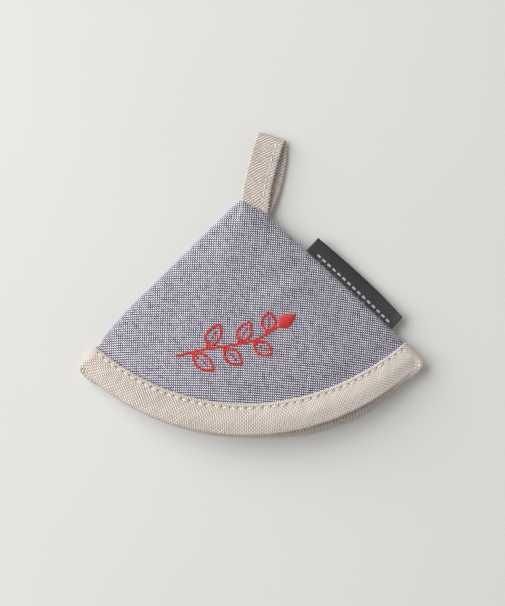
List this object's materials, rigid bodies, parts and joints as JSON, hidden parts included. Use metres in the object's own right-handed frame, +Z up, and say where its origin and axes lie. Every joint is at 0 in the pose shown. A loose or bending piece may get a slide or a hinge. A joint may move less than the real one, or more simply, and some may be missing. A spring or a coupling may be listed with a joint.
{
  "type": "mini oven mitt",
  "caption": "Small padded chambray mitt for the fingertips, a flattened cone lying on its back, with a bias-bound mouth, a hanging loop in its point and a folded side label.",
  "frame": {"origin": "on the surface that the mitt lies on, under the middle of its outline", "axes": "+Z up, out of the front panel; +X across the mouth, to the right with the label's side seam; +Y from the mouth to the hanging loop"},
  "size_m": [0.142, 0.1274, 0.0151],
  "materials": {
    "chambray": "blue-grey and white plain weave, matt",
    "natural_tape": "natural undyed cotton-linen plain weave cut on the bias, matt",
    "label_satin": "charcoal woven satin, soft sheen",
    "natural_thread": "pale sewing thread",
    "embroidery_thread": "red embroidery thread, soft sheen",
    "lining_cotton": "plain natural cotton inside the pocket, matt"
  },
  "bodies": {
    "root": {"front_panel": "chambray", "back_panel": "chambray", "binding": "natural_tape", "hanging_loop": "natural_tape", "side_label": "label_satin"}
  },
  "joints": []
}
